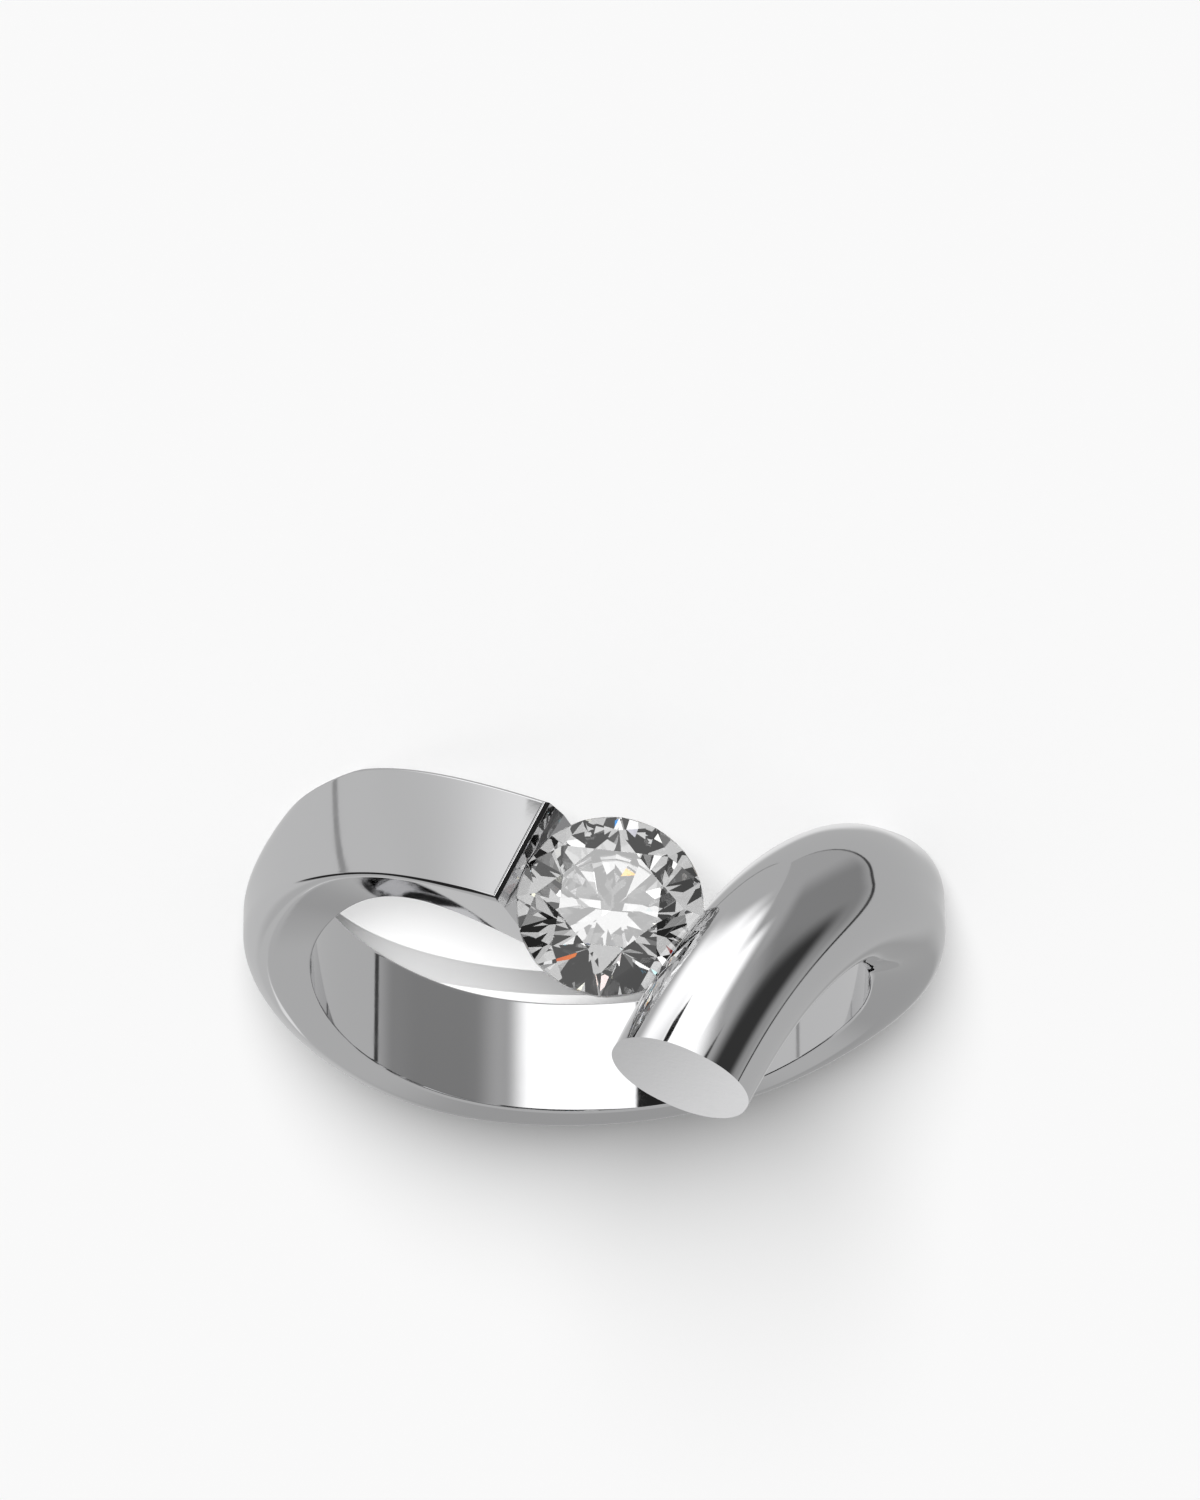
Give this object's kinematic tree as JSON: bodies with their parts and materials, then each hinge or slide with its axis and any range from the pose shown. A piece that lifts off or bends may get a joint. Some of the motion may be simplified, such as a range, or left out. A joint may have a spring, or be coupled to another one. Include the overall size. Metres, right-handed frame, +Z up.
{
  "type": "tension set ring",
  "caption": "Polished metal finger ring whose flat bar end and curled round bar end grip a round brilliant cut stone between them, lying on its side.",
  "frame": {"origin": "on the finger axis, level with the flat side that the ring lies on", "axes": "+Z up along the finger axis, -Y towards the stone, +X towards the shoulder of the flat bar"},
  "size_m": [0.0227, 0.0251, 0.0124],
  "materials": {
    "polished_platinum": "mirror polished",
    "diamond": "polished facets"
  },
  "bodies": {
    "root": {"ring_band": "polished_platinum", "diamond": "diamond"}
  },
  "joints": []
}
